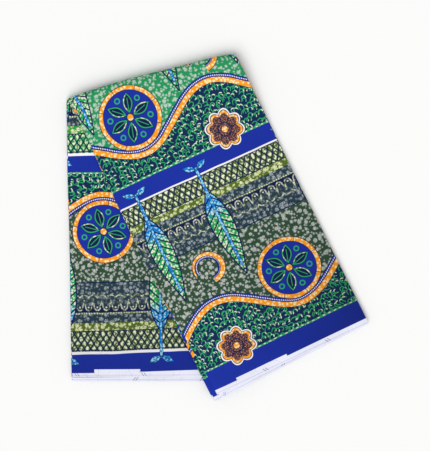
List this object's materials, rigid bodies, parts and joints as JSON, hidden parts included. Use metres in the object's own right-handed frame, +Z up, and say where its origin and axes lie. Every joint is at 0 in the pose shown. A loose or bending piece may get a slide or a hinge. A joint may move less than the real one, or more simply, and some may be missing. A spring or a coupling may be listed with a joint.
{
  "type": "folded length of african print fabric",
  "caption": "Length of printed cotton wax cloth, folded zigzag into a strip and folded once across, askew, so that its two ends fan out flat on a surface.",
  "frame": {"origin": "centre of the bounding box, on the surface that the bundle lies on", "axes": "+Z up, +Y towards the cross fold at the top, +X to the right as seen from above"},
  "size_m": [0.574, 0.6581, 0.0242],
  "materials": {
    "printed_cotton": "matte",
    "folded_layers": "matte"
  },
  "bodies": {
    "root": {"outer_leaf": "printed_cotton", "inner_leaf": "printed_cotton", "hidden_folds": "folded_layers"}
  },
  "joints": []
}
